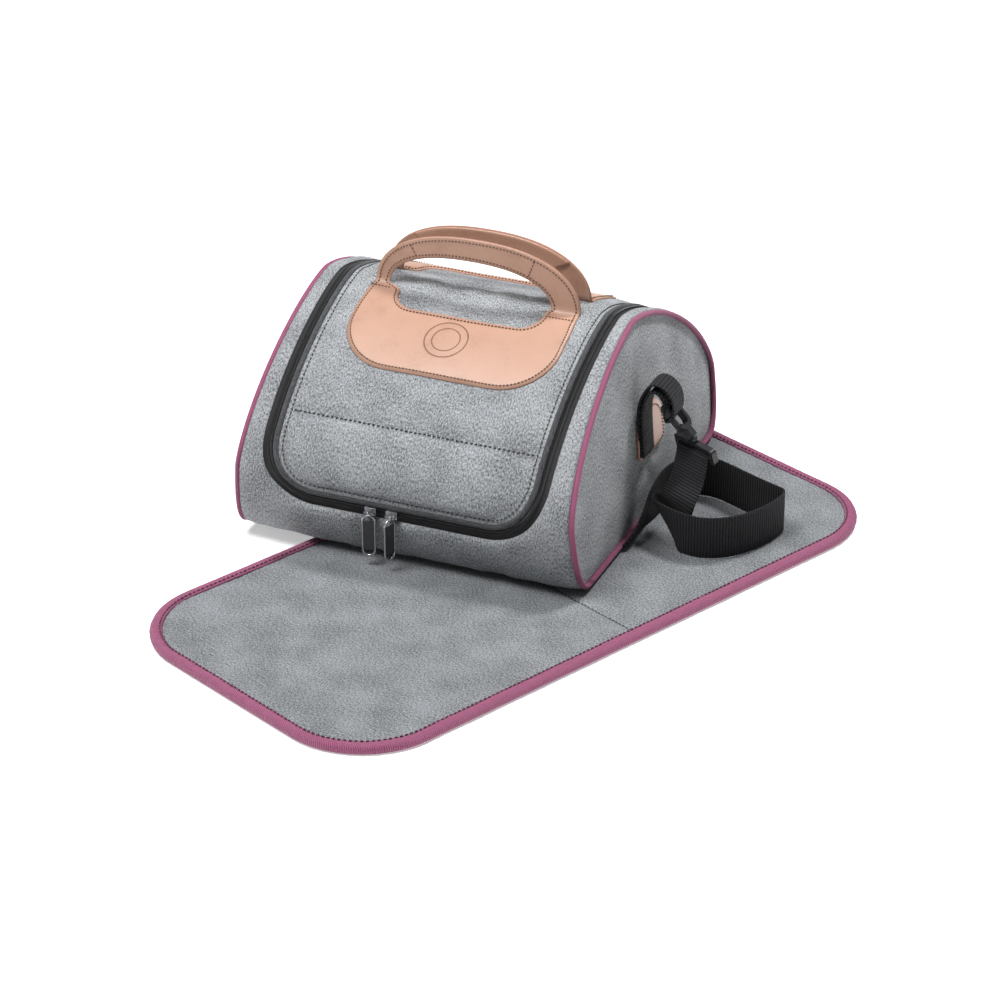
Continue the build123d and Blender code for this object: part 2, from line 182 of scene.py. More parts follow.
def sew(name, corners, faces, *finishes, lay=None):
    """A mesh piece from its points and faces. lay is each point's place on the flat cloth, in metres."""
    mesh = bpy.data.meshes.new(name)
    corners = np.asarray(corners, float).reshape(-1, 3)
    mesh.from_pydata(corners.tolist(), [], faces)
    mesh.shade_smooth()
    spots = mesh.attributes.new("lay", "FLOAT_VECTOR", "POINT")
    spots.data.foreach_set("vector", np.asarray(corners if lay is None else lay, np.float32).ravel())
    for finish in finishes:
        mesh.materials.append(finish.material)
    made = bpy.data.objects.new(name, mesh)
    bpy.context.collection.objects.link(made)
    return made


def grid_faces(rows, columns, round_rows=False, round_columns=False):
    """Quads of a grid whose points run row by row."""
    return [(r * columns + c, r * columns + (c + 1) % columns,
             (r + 1) % rows * columns + (c + 1) % columns, (r + 1) % rows * columns + c)
            for r in range(rows if round_rows else rows - 1)
            for c in range(columns if round_columns else columns - 1)]


def smooth_line(points):
    """Points read from the smooth line that a route's points draw."""
    line = bpy.data.curves.new("route", "CURVE")
    line.dimensions = "3D"
    spline = line.splines.new("NURBS")
    spline.points.add(len(points) - 1)
    for spot, place in zip(spline.points, points):
        spot.co = (*place, 1)
    spline.order_u = 3
    spline.use_endpoint_u = True
    spline.resolution_u = 12
    holder = bpy.data.objects.new("route", line)
    mesh = bpy.data.meshes.new_from_object(holder)
    places = np.array([vertex.co for vertex in mesh.vertices])
    bpy.data.objects.remove(holder)
    return places


def unit(vectors):
    return vectors / np.linalg.norm(vectors, axis=-1, keepdims=True)


def run_along(line):
    """Distance along a line at each of its points."""
    return np.concatenate([[0], np.cumsum(np.linalg.norm(np.diff(line, axis=0), axis=1))])


def webbing(name, route, thick, finish):
    """Webbing along a route of (place, half width there) points. Gives the piece and its middle line."""
    middle = smooth_line([place for place, _ in route])
    half = smooth_line([np.add(place, reach) for place, reach in route]) - middle
    widest = max(np.linalg.norm(reach) for _, reach in route)
    narrow = np.linalg.norm(route[0][1])
    half = unit(half) * np.clip(np.linalg.norm(half, axis=1), narrow, widest)[:, None]
    face = unit(np.cross(np.gradient(middle, axis=0), half))
    flat = [-0.985, -0.93, -0.6, -0.2, 0.2, 0.6, 0.93, 0.985]
    top = [(a, 0.5 if abs(a) < 0.95 else 0.3) for a in flat]
    profile = top + [(a, -b) for a, b in top[::-1]]
    points = np.stack([middle + half * a + face * (b * thick) for a, b in profile], axis=1)
    run = run_along(middle)
    lay = np.stack([np.column_stack([run, run * 0 + a * narrow, run * 0]) for a, _ in profile], axis=1)
    faces = grid_faces(len(middle), len(profile), round_columns=True)
    last = (len(middle) - 1) * len(profile)
    faces += [tuple(range(len(profile)))[::-1], tuple(last + k for k in range(len(profile)))]
    return sew(name, points, faces, finish, lay=lay), middle


STRAP_HALF = 0.019
on_edge = (0, 0, STRAP_HALF)
from_hook = (-0.0167, 0.0089, 0)
first_fold = (-0.0140, 0.0015, 0.0188)
turning = (0, -STRAP_HALF, STRAP_HALF)
to_hook = (0, -STRAP_HALF, 0)
under_bag = (-0.0128, -0.0140, 0)
strap_route = [
    ((0.1982, -0.0128, 0.0850), from_hook), ((0.1958, -0.0172, 0.0848), from_hook),
    ((0.1956, -0.0180, 0.0770), from_hook), ((0.1965, -0.0300, 0.0620), from_hook),
    ((0.1935, -0.0460, 0.0486), from_hook), ((0.1830, -0.0350, 0.0295), first_fold),
    ((0.1820, -0.0460, 0.0280), first_fold), ((0.1990, -0.0575, 0.0270), on_edge),
    ((0.2220, -0.0600, 0.0270), on_edge), ((0.2430, -0.0480, 0.0270), on_edge),
    ((0.2570, -0.0280, 0.0270), on_edge), ((0.2660, -0.0060, 0.0270), on_edge),
    ((0.2690, 0.0150, 0.0270), on_edge), ((0.2580, 0.0190, 0.0270), on_edge),
    ((0.2430, 0.0250, 0.0270), on_edge), ((0.2190, 0.0360, 0.0270), on_edge),
    ((0.1930, 0.0480, 0.0270), on_edge), ((0.1710, 0.0430, 0.0270), on_edge),
    ((0.1620, 0.0220, 0.0270), on_edge), ((0.1605, -0.0010, 0.0270), on_edge),
    ((0.1608, -0.0220, 0.0264), (0.0020, -0.0050, 0.0178)),
    ((0.1606, -0.0400, 0.0204), (0.0050, -0.0130, 0.0122)),
    ((0.1570, -0.0540, 0.0106), (0.0030, -0.0182, 0.0016)),
    ((0.1440, -0.0590, 0.0085), (-0.0020, -0.0189, 0)),
    ((0.1120, -0.0300, 0.0085), (-0.0110, -0.0155, 0)), ((0.0580, 0.0400, 0.0085), under_bag),
    ((0.0040, 0.0920, 0.0085), under_bag), ((-0.0460, 0.1400, 0.0085), under_bag),
    ((-0.0880, 0.1840, 0.0087), (-0.0150, -0.0100, 0.0050)),
    ((-0.0950, 0.2020, 0.0150), (-0.0120, -0.0020, 0.0140)),
    ((-0.0960, 0.2200, 0.0196), on_edge), ((-0.1120, 0.2400, 0.0196), on_edge),
    ((-0.1380, 0.2520, 0.0196), on_edge), ((-0.1650, 0.2460, 0.0196), on_edge),
    ((-0.1820, 0.2220, 0.0196), on_edge), ((-0.1880, 0.1900, 0.0196), on_edge),
    ((-0.1900, 0.1500, 0.0196), on_edge), ((-0.1880, 0.1100, 0.0196), on_edge),
    ((-0.1880, 0.0700, 0.0196), on_edge), ((-0.1900, 0.0320, 0.0196), on_edge),
    ((-0.1910, 0.0120, 0.0210), turning), ((-0.1860, 0.0080, 0.0240), turning),
    ((-0.1852, 0.0100, 0.0400), to_hook), ((-0.1850, 0.0100, 0.0530), to_hook),
    ((-0.1844, 0.0100, 0.0674), to_hook),
]
strap_webbing = black_webbing("strap_webbing", 0.0026)
strap, strap_line = webbing("shoulder_strap", strap_route, 0.0016, strap_webbing)
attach(strap, "mat")
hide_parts("strap_drop_right", "strap_loop_right", "strap_under", "strap_behind", "strap_drop_left")

# ---------------------------------------------------------------- changing mat
# A padded sheet of the bag's own fabric over thin wadding, 600 by 300 mm, folded across the middle when
# it is put away. Its edge is closed with rose binding tape, sewn through with one row of stitches.
MAT_LONG, MAT_WIDE, MAT_CORNER = 0.300, 0.150, 0.075
MAT_MIDDLE = Vector((0.082, -0.130, 0))
MAT_TURN = 1.1380
TAPE_IN = 0.0105


def melange(name, dark, light, warp):
    """Grey melange cloth: pale and dark fibres in long slubs along the warp, over a fine plain weave."""
    finish = Finish(name, light, Roughness=0.88, Sheen_Weight=0.12, Sheen_Roughness=0.5)
    slubs = finish.noise(820.0, 4.0, warp, Roughness=0.65)
    specks = finish.noise(1350.0, 2.0)
    drift = finish.noise(28.0, 3.0)
    fibres = slubs * 0.55 + specks * 0.45 + drift * 0.14 - 0.07
    middle = tuple((a + b) / 2 for a, b in zip(dark, light))
    finish.shade(fibres, (0.40, dark), (0.5, middle), (0.60, light))
    along, across = cloth_lines(finish)
    weave = finish.waves(along, 0.0009) + finish.waves(across, 0.0009)
    finish.ridge(weave * 0.5 + slubs * 0.5 + specks * 0.3, 0.0003)
    return finish


def tape_finish(name, colour, rib):
    """Woven binding tape: a fine twill rib, with the dye a little uneven."""
    finish = Finish(name, colour, Roughness=0.75, Sheen_Weight=0.1, Sheen_Roughness=0.4)
    along, across = cloth_lines(finish)
    ribs = finish.waves(along + across * 0.6, rib)
    mottle = finish.noise(260.0, 4.0)
    deep = tuple(part * 0.62 for part in colour)
    finish.shade(ribs * 0.55 + mottle * 0.55, (0.3, deep), (0.8, colour))
    finish.ridge(ribs + mottle * 0.4, 0.0009)
    return finish


def thread(name, colour):
    """Sewing thread: two plies twisted round each other."""
    finish = Finish(name, colour, Roughness=0.55, Sheen_Weight=0.2)
    along, across = cloth_lines(finish)
    ply = finish.waves(along + across, 0.0007)
    finish.shade(ply, (0.0, tuple(part * 0.6 for part in colour)), (1.0, colour))
    finish.ridge(ply, 0.0002)
    return finish


def stitches(name, line, outward, pitch, long, thick, finish):
    """A row of stitches along a line: each is a short thread that dips into the cloth at both ends."""
    line, outward = np.asarray(line), np.broadcast_to(outward, np.shape(line))
    run = run_along(line)
    count = max(1, round(run[-1] / pitch))
    middles = (np.arange(count) + 0.5) * run[-1] / count

    def at(where, table):
        return np.stack([np.interp(where, run, table[:, k]) for k in range(3)], axis=1)

    ahead = unit(at(middles + long / 2, line) - at(middles - long / 2, line))
    side = unit(np.cross(ahead, at(middles, outward)))
    up = np.cross(side, ahead)
    rings = [(-0.5, 0.35, -0.9), (-0.28, 0.9, 0.1), (0, 1.0, 0.4), (0.28, 0.9, 0.1), (0.5, 0.35, -0.9)]
    turns = [2 * pi * k / 5 for k in range(5)]
    points = np.stack([at(middles, line) + ahead * (a * long) + up * ((lift + swell * sin(t)) * thick)
                       + side * (swell * cos(t) * thick) for a, swell, lift in rings for t in turns], axis=1)
    one = grid_faces(5, 5, round_columns=True) + [(4, 3, 2, 1, 0), (20, 21, 22, 23, 24)]
    faces = [tuple(k + 25 * row for k in face) for row in range(count) for face in one]
    lay = np.stack([np.broadcast_to([a * long, k * thick, 0], (count, 3))
                    for a, _, _ in rings for k in range(5)], axis=1)
    return sew(name, points, faces, finish, lay=lay)


def ripple(spots, size, seed):
    """Soft random relief, -1 to 1, with humps about size across."""
    return np.array([noise.noise(Vector((x / size[0], y / size[1], seed))) for x, y in spots])


def mat_place(flat, height):
    """Points on the mat from their place along and across it."""
    turn = np.array([[cos(MAT_TURN), sin(MAT_TURN)], [-sin(MAT_TURN), cos(MAT_TURN)]])
    return np.column_stack([np.asarray(flat) @ turn + np.array(MAT_MIDDLE[:2]), height])


def corner_rows(straight, radius, count):
    """(distance, half width less the corner) of rows round a quarter corner."""
    turns = np.radians(np.linspace(0, 90, count))
    return straight + radius * np.sin(turns), radius * np.cos(turns)


def mat_sheet(inset):
    """Flat places of a rounded sheet inset from the mat's edge, with its numbers of rows and columns."""
    radius = MAT_CORNER - inset
    far, round_half = corner_rows(MAT_LONG - MAT_CORNER, radius, 12)
    rows = [(-a, MAT_WIDE - MAT_CORNER + h) for a, h in zip(far[::-1], round_half[::-1])]
    straight = MAT_LONG - MAT_CORNER
    rows += [(a, MAT_WIDE - inset) for a in np.linspace(-straight, straight, 91)[1:-1]]
    rows += [(a, MAT_WIDE - MAT_CORNER + h) for a, h in zip(far, round_half)]
    shares = np.linspace(-1, 1, 49)
    return np.array([[(a, share * half) for share in shares] for a, half in rows]), len(rows), len(shares)


def mat_edge_gap(flat):
    """How far a place lies inside the mat's outline."""
    beyond = np.maximum(np.abs(flat) - (MAT_LONG - MAT_CORNER, MAT_WIDE - MAT_CORNER), 0)
    return np.where((beyond > 0).all(axis=1), MAT_CORNER - np.hypot(*beyond.T),
                    np.minimum(MAT_LONG - np.abs(flat[:, 0]), MAT_WIDE - np.abs(flat[:, 1])))


grey_mat = melange("mat_melange", (0.034, 0.038, 0.043), (0.33, 0.347, 0.364), (1, 0.6, 1))
rose_tape = tape_finish("rose_binding_tape", (0.42, 0.105, 0.225), 0.0018)
grey_thread = thread("grey_thread", (0.016, 0.017, 0.020))
rose_thread = thread("rose_thread", (0.10, 0.014, 0.045))
flat, rows, columns = mat_sheet(0.006)
spots = flat.reshape(-1, 2)
gap = mat_edge_gap(spots)
crease = np.exp(-(spots[:, 0] / 0.0022) ** 2)
crease_soft = np.exp(-(spots[:, 0] / 0.016) ** 2)
height = 0.0072 - 0.0016 * crease - 0.0006 * crease_soft + 0.0003 * ripple(spots, (0.05, 0.03), 3.0)
height -= 0.0012 * np.exp(-((gap - TAPE_IN) / 0.004) ** 2)
mat_top = sew("mat_padded_sheet", mat_place(spots, height), grid_faces(rows, columns), grey_mat,
              lay=np.column_stack([spots[:, ::-1], spots[:, 0] * 0]))
wadding = mat_top.modifiers.new("wadding", "SOLIDIFY")
wadding.thickness, wadding.offset = 0.0062, 1.0 if mat_top.data.polygons[0].normal.z < 0 else -1.0
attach(mat_top, "mat")
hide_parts("mat_padding", "mat_face", "mat_backing")


def mat_outline(inset, step):
    """Places and outward directions round the mat's edge, inset from it, as a closed ring."""
    places, out = [], []
    for a, b in ((1, 1), (-1, 1), (-1, -1), (1, -1)):
        start = {(1, 1): 0, (-1, 1): 90, (-1, -1): 180, (1, -1): 270}[a, b]
        for turn in np.radians(np.linspace(start, start + 90, 22)):
            way = np.array([cos(turn), sin(turn)])
            hub = (a * (MAT_LONG - MAT_CORNER), b * (MAT_WIDE - MAT_CORNER))
            places.append(hub + way * (MAT_CORNER - inset))
            out.append(way)
    places, out = np.array(places + places[:1]), np.array(out + out[:1])
    run = run_along(places)
    where = np.linspace(0, run[-1], int(run[-1] / step), endpoint=False)
    places = np.column_stack([np.interp(where, run, places[:, k]) for k in (0, 1)])
    out = unit(np.column_stack([np.interp(where, run, out[:, k]) for k in (0, 1)]))
    return places, out, where


edge, out, where = mat_outline(0, 0.004)
slack = ripple(np.column_stack([where, where * 0]), (0.03, 1), 8.0)
pucker = 0.00025 * np.sin(where * 2 * pi / 0.011) + 0.0005 * slack
tape_profile = [(0.0108, 0.0066), (0.0095, 0.0078), (0.0060, 0.0081), (0.0028, 0.0079), (0.0010, 0.0068),
                (0.0002, 0.0045), (0.0006, 0.0020), (0.0024, 0.0004), (0.0108, 0.0002), (0.0106, 0.0008),
                (0.0030, 0.0012), (0.0018, 0.0040), (0.0030, 0.0062), (0.0100, 0.0060)]
ring = [mat_place(edge - out * (d + pucker[:, None] * (z > 0.003)), z + pucker * (z > 0.003))
        for d, z in tape_profile]
tape_lay = [np.column_stack([where, where * 0 + d, where * 0]) for d, _ in tape_profile]
tape_faces = grid_faces(len(edge), len(ring), True, True)
binding = sew("mat_binding_tape", np.stack(ring, axis=1), tape_faces, rose_tape,
              lay=np.stack(tape_lay, axis=1))
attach(binding, "mat")
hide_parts("mat_binding")
# rows of stitches: pitch, length and thickness of one stitch
TAPE_STITCH, FOLD_STITCH = (0.0044, 0.0032, 0.00065), (0.0040, 0.0030, 0.00045)
inner_edge, _, around = mat_outline(0.0086, 0.004)
tape_line = mat_place(inner_edge, around * 0 + 0.0085)
mat_seam = stitches("mat_binding_stitches", tape_line, (0, 0, 1), *TAPE_STITCH, rose_thread)
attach(mat_seam, "mat")

fold_line = np.column_stack([np.zeros(60), np.linspace(-MAT_WIDE + TAPE_IN, MAT_WIDE - TAPE_IN, 60)])
fold_place = mat_place(fold_line, np.full(60, 0.0058))
fold_seam = stitches("mat_fold_stitches", fold_place, (0, 0, 1), *FOLD_STITCH, grey_thread)
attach(fold_seam, "mat")

# ---------------------------------------------------------------- bag body
# The wrap is one length of melange cloth over foam and foil, sewn into a tunnel that slopes in to the
# top; its U-shaped cut takes the zip. Two end panels, foam-backed, close it and lean inwards.
HALF_DEPTH, BASE_HALF, BASE_Z, SHOULDER_Z, CROWN_Z = 0.168, 0.140, 0.0098, 0.070, 0.185
CROWN_POWER, SIDE_POWER = 1.5, 2.6
HALF_LENGTH, LEAN = 0.1515, {-1: 0.05, 1: 0.11}
WALL = 0.0072
ZIP_X, ZIP_HALF, ZIP_LOW, ZIP_CORNER, HINGE_Z = -0.004, 0.121, 0.056, 0.045, 0.118


def section(turn):
    """(y, z) on the bag's outer section. turn is in degrees, 0 at the front shoulder, 90 at the top."""
    side, rise = -np.cos(np.radians(turn)), np.sin(np.radians(turn))
    power = np.where(rise >= 0, 2 / CROWN_POWER, 2 / SIDE_POWER)
    side, rise, top = np.sign(side) * abs(side) ** power, np.sign(rise) * abs(rise) ** power, rise >= 0
    y = np.where(top, HALF_DEPTH * side, np.sign(side) * BASE_HALF + (HALF_DEPTH - BASE_HALF) * side)
    return y, SHOULDER_Z + np.where(top, CROWN_Z - SHOULDER_Z, SHOULDER_Z - BASE_Z) * rise


def section_turn(z):
    """Turn at which the front of the section has this height."""
    if z >= SHOULDER_Z:
        return np.degrees(np.arcsin(((z - SHOULDER_Z) / (CROWN_Z - SHOULDER_Z)) ** (CROWN_POWER / 2)))
    return -np.degrees(np.arcsin(((SHOULDER_Z - z) / (SHOULDER_Z - BASE_Z)) ** (SIDE_POWER / 2)))


def skin(x, turn, rise=0.0):
    """Points on the bag's skin, raised along its outward normal."""
    x, turn, rise = np.broadcast_arrays(*(np.asarray(given, float) for given in (x, turn, rise)))
    (y0, z0), (y1, z1), (y, z) = section(turn - 0.6), section(turn + 0.6), section(turn)
    size = np.hypot(y1 - y0, z1 - z0)
    return np.stack([x, y - (z1 - z0) / size * rise, z + (y1 - y0) / size * rise], axis=-1)


TURNS = np.linspace(-90, 270, 1441)
PATH = run_along(np.stack(section(TURNS), axis=1))


def path_at(turn):
    """Distance along the section's cloth at a turn."""
    return np.interp(turn, TURNS, PATH)


def end_x(side, z):
    """X of an end panel's outer face at height z."""
    return side * (HALF_LENGTH - LEAN[side] * (z - BASE_Z))


def zip_rows(grow):
    """(turn, half width) of rows across the zip's U moved outwards by grow, from the hinge to its bottom."""
    corner_z = ZIP_LOW + ZIP_CORNER
    turns = np.linspace(180 - section_turn(HINGE_Z), section_turn(corner_z), 80)
    rows = [(turn, ZIP_HALF + grow) for turn in turns]
    down, half = corner_rows(0, ZIP_CORNER + grow, 18)
    rows += [(section_turn(corner_z - d), ZIP_HALF - ZIP_CORNER + h) for d, h in zip(down[1:], half[1:])]
    return np.array(rows)


grey_cloth = melange("bag_melange", (0.040, 0.044, 0.050), (0.47, 0.49, 0.51), (1, 0.5, 1))


def foil_finish():
    """Aluminised lining: bright, with the fine crumple that pressed foil keeps."""
    finish = Finish("foil_lining", (0.72, 0.73, 0.74), Roughness=0.32, Metallic=0.85)
    crumple = finish.node("ShaderNodeTexVoronoi", {"feature": "DISTANCE_TO_EDGE"}, {
        "Vector": finish.cloth(1, 1, 1), "Scale": 95.0})
    grain = finish.noise(300.0, 3.0)
    finish.set("Roughness", 0.24 + grain * 0.25)
    finish.ridge(crumple * 1.5 + grain * 0.5, 0.0012)
    return finish


foil = foil_finish()
black_tape = tape_finish("zip_tape_cloth", (0.016, 0.016, 0.018), 0.0012)

STRIP, MIDDLE = 8, 40
opening = zip_rows(0.0065)[::-1]
back_turns = np.linspace(opening[-1][0], 268, 26)[1:]
front_turns = np.linspace(-88, opening[0][0], 18)[:-1]
base_y = np.linspace(BASE_HALF, -BASE_HALF, 30)[1:-1]
wrap_points, wrap_lay, wrap_faces = [], [], []


def wrap_row(z, half):
    """X of one row across the whole wrap at height z: left strip, middle, right strip."""
    left, right = end_x(-1, z), end_x(1, z)
    return np.concatenate([np.linspace(left, ZIP_X - half, STRIP + 1)[:-1],
                           np.linspace(ZIP_X - half, ZIP_X + half, MIDDLE + 1),
                           np.linspace(ZIP_X + half, right, STRIP + 1)[1:]])


def wrap_swell(x, turn, half, open_row):
    """Padding of the wrap: full between the zip and the piping, soft dents lower down the front."""
    left, right = end_x(-1, section(turn)[1]), end_x(1, section(turn)[1])
    rim = np.minimum(x - left, right - x)
    if open_row:
        gap = np.minimum(rim, np.maximum(np.abs(x - ZIP_X) - half, 0))
    else:
        gap = rim
    full = 1 - np.exp(-(gap / 0.006) ** 2)
    spots = np.column_stack([x, np.full_like(x, path_at(turn))])
    dents, creases = ripple(spots, (0.030, 0.080), 1.0), ripple(spots, (0.011, 0.05), 2.0)
    return full * (0.0022 + 0.0022 * dents + 0.0008 * creases)


wrap_rows = [(turn, half, True, None) for turn, half in opening]
for k, turn in enumerate(back_turns):
    ease = (k + 1) / len(back_turns)
    wrap_rows.append((turn, opening[-1][1] * (1 - ease) + opening[0][1] * ease, False, None))
wrap_rows += [(270.0, opening[0][1], False, y) for y in base_y]
wrap_rows += [(turn, opening[0][1], False, None) for turn in front_turns]
for turn, half, open_row, base in wrap_rows:
    x = wrap_row(section(turn)[1] if base is None else BASE_Z, half)
    if base is None:
        wrap_points.append(skin(x, np.full_like(x, turn), wrap_swell(x, turn, half, open_row)))
        along = path_at(turn)
    else:
        wrap_points.append(np.stack([x, np.full_like(x, base), np.full_like(x, BASE_Z)], axis=1))
        along = PATH[-1] + BASE_HALF - base
    wrap_lay.append(np.stack([x, np.full_like(x, along), x * 0], axis=1))
wide = 2 * STRIP + MIDDLE + 1
for r in range(len(wrap_rows)):
    after = (r + 1) % len(wrap_rows)
    inside = wrap_rows[r][2] and wrap_rows[after][2] and after
    for c in range(wide - 1):
        if not (inside and STRIP <= c < STRIP + MIDDLE):
            wrap_faces.append((r * wide + c, r * wide + c + 1, after * wide + c + 1, after * wide + c))


def drop_loose(piece):
    """Takes out the points that no face uses."""
    used = {corner for face in piece.data.polygons for corner in face.vertices}
    work = bmesh.new()
    work.from_mesh(piece.data)
    work.verts.ensure_lookup_table()
    bmesh.ops.delete(work, geom=[v for v in work.verts if v.index not in used], context="VERTS")
    bmesh.ops.recalc_face_normals(work, faces=work.faces)
    work.to_mesh(piece.data)
    work.free()


def pad_out(piece, wall, outward):
    """Gives a skin its wall of foam and lining: the second finish inside, the third on the rim."""
    probe, way = outward
    face = min(piece.data.polygons, key=lambda f: (f.center - Vector(probe)).length)
    if face.normal.dot(Vector(way)) < 0:
        piece.data.flip_normals()
    layer = piece.modifiers.new("foam_and_lining", "SOLIDIFY")
    layer.thickness, layer.offset, layer.material_offset, layer.material_offset_rim = wall, -1.0, 1, 2


wrap = sew("bag_wrap", wrap_points, wrap_faces, grey_cloth, foil, black_tape, lay=wrap_lay)
drop_loose(wrap)
pad_out(wrap, WALL, ((0, -0.168, 0.040), (0, -1, 0)))
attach(wrap, "bag")
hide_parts("wrap_fabric", "wrap_foam", "wrap_lining")


def end_ring(count):
    """Places round an end panel's outline: the arch, then the base."""
    y, z = section(np.linspace(-88, 268, count))
    low = np.linspace(BASE_HALF, -BASE_HALF, 26)[1:-1]
    return np.concatenate([y, low]), np.concatenate([z, low * 0 + BASE_Z])


TAB_Y = {-1: 0.010, 1: -0.014}
HUB_Z = 0.080
rim_y, rim_z = end_ring(130)
rim_angle = np.unwrap(np.arctan2(rim_z - HUB_Z, -rim_y))
rim_reach = np.hypot(rim_y, rim_z - HUB_Z)


def end_place(y, z, side, off=0.0):
    """Points on an end panel, off its surface: domed by its foam, creased below the tab that pulls on it."""
    angle = np.mod(np.arctan2(z - HUB_Z, -y) - rim_angle[0], 2 * pi) + rim_angle[0]
    share = np.clip(np.hypot(y, z - HUB_Z) / np.interp(angle, rim_angle, rim_reach), 0, 1)
    dome = (1 - share ** 2.4) * 0.0058
    below = np.arctan2(y - TAB_Y[side], 0.074 - z)
    reach = np.hypot(y - TAB_Y[side], z - 0.066)
    near_tab = np.exp(-((reach - 0.022) / 0.020) ** 2) * np.exp(-(below / 1.1) ** 2)
    creases = near_tab * np.cos(below * 7.0 + 0.6)
    soft = ripple(np.column_stack([y.ravel(), z.ravel()]), (0.05, 0.035), 5.0 + side).reshape(y.shape)
    bulge = dome + (1 - share ** 4) * (0.0016 * creases + 0.0012 * soft)
    return np.stack([end_x(side, z) + side * (bulge + off), y, z], axis=-1)


shares = np.concatenate([[0.012], np.linspace(0.04, 1, 44)])
for side, name in ((-1, "left"), (1, "right")):
    y, z = np.outer(shares, rim_y), HUB_Z + np.outer(shares, rim_z - HUB_Z)
    faces = grid_faces(len(shares), len(rim_y), round_columns=True) + [tuple(range(len(rim_y)))]
    panel = sew(f"end_panel_{name}", end_place(y, z, side), faces, grey_cloth, foil, black_tape,
                lay=np.stack([y, z, z * 0], axis=-1))
    pad_out(panel, WALL, ((side * 0.15, 0, 0.09), (side, 0, 0)))
    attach(panel, "bag")
    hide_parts(f"end_fabric_{name}", f"end_foam_{name}", f"end_lining_{name}")

# ---------------------------------------------------------------- piping and base board
# Rose piping, a cord wrapped in bias-cut tape, is sewn into the seam between the wrap and each end
# panel. A foil-covered board lies in the bottom.


def tube(name, line, radius, sides, finish, closed=False):
    """A round bar along a line, with its lay running along and round it."""
    line = np.asarray(line)
    ahead = unit(np.roll(line, -1, 0) - np.roll(line, 1, 0)) if closed else unit(np.gradient(line, axis=0))
    up = np.zeros_like(line)
    up[0] = unit(np.cross(ahead[0], (0.3, 0.5, 0.8)))
    for k in range(1, len(line)):
        up[k] = unit(up[k - 1] - ahead[k] * (up[k - 1] @ ahead[k]))
    side = np.cross(ahead, up)
    turns = [2 * pi * k / sides for k in range(sides)]
    radius = np.broadcast_to(radius, len(line))[:, None]
    points = np.stack([line + (up * cos(t) + side * sin(t)) * radius for t in turns], axis=1)
    run = run_along(line)
    lay = np.stack([np.column_stack([run, run * 0 + radius[0] * t, run * 0]) for t in turns], axis=1)
    faces = grid_faces(len(line), sides, closed, True)
    if not closed:
        last = (len(line) - 1) * sides
        faces += [tuple(range(sides))[::-1], tuple(last + k for k in range(sides))]
    return sew(name, points, faces, finish, lay=lay)


PIPING = 0.0024
rose_piping = tape_finish("rose_piping", (0.40, 0.095, 0.21), 0.0018)
for side, name in ((-1, "left"), (1, "right")):
    turns = np.linspace(-88, 268, 150)
    loop = skin(0, turns, 0.0004 - PIPING)
    low = np.linspace(BASE_HALF - 0.004, -BASE_HALF + 0.004, 40)
    loop = np.concatenate([loop, np.column_stack([low * 0, low, low * 0 + BASE_Z + PIPING - 0.0004])])
    loop[:, 0] = end_x(side, loop[:, 2]) + side * (PIPING + 0.0001)
    piping = tube(f"piping_{name}_cord", loop, PIPING, 12, rose_piping, closed=True)
    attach(piping, "bag")
    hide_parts(f"piping_{name}")


def dress(node, finish, soften=0.0):
    """Gives a part of the frame its finish, and takes the sharpness off its edges."""
    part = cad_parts[node]
    part.data.materials.clear()
    part.data.materials.append(finish.material)
    if soften:
        bevel = part.modifiers.new("softened", "BEVEL")
        bevel.width, bevel.segments, bevel.limit_method, bevel.angle_limit = soften, 3, "ANGLE", 0.6


def solid_finish(name, colour, grain, depth, **fixed):
    """Moulded or cast part: even colour with a fine grain, its roughness varying in broad random patches."""
    finish = Finish(name, colour, **fixed)
    place = finish.node("ShaderNodeTexCoord", output=3)
    fine = finish.node("ShaderNodeTexNoise", sockets={"Vector": place, "Scale": grain, "Detail": 4.0})
    broad = finish.node("ShaderNodeTexNoise", sockets={"Vector": place, "Scale": grain / 14, "Detail": 2.0})
    finish.set("Roughness", fixed["Roughness"] - 0.12 + broad * 0.24)
    finish.shade(fine, (0.3, tuple(part * 0.75 for part in colour)), (0.7, colour))
    finish.ridge(fine, depth)
    return finish


board = solid_finish("board_foil", (0.66, 0.67, 0.68), 240.0, 0.0006, Roughness=0.34, Metallic=0.8)
dress("base_board", board, 0.0008)

# ---------------------------------------------------------------- zip
# A long nylon coil zip round the lid's U: woven tapes sewn to the wrap and to the lid, two rows of
# coil that mesh along the middle, and two sliders that meet at the front with long wire pullers.


def zip_line(grow):
    """(x, turn) along the zip's U moved outwards by grow, from the hinge on the left to that on the right."""
    rows = zip_rows(grow)
    across = np.linspace(-1, 1, 42)[1:-1] * rows[-1][1]
    left = [(ZIP_X - half, turn) for turn, half in rows]
    right = [(ZIP_X + half, turn) for turn, half in rows[::-1]]
    return np.array(left + [(ZIP_X + a, rows[-1][0]) for a in across] + right)


def zip_band(name, outer, inner, rises, finish, thick):
    """A strip along the zip between two distances from its middle, domed by the rises across it."""
    ways = np.linspace(outer, inner, len(rises))
    rings, lays = [], []
    for way, rise in zip(ways, rises):
        spots = zip_line(way)
        rings.append(skin(spots[:, 0], spots[:, 1], rise))
        run = run_along(rings[-1])
        lays.append(np.column_stack([run, run * 0 + way, run * 0]))
    faces = grid_faces(len(rings[0]), len(rings))
    made = sew(name, np.stack(rings, axis=1), faces, finish, lay=np.stack(lays, axis=1))
    pad_out(made, thick, ((ZIP_X, -0.168, 0.056), (0, -1, 0)))
    made.modifiers[0].material_offset = made.modifiers[0].material_offset_rim = 0
    return made


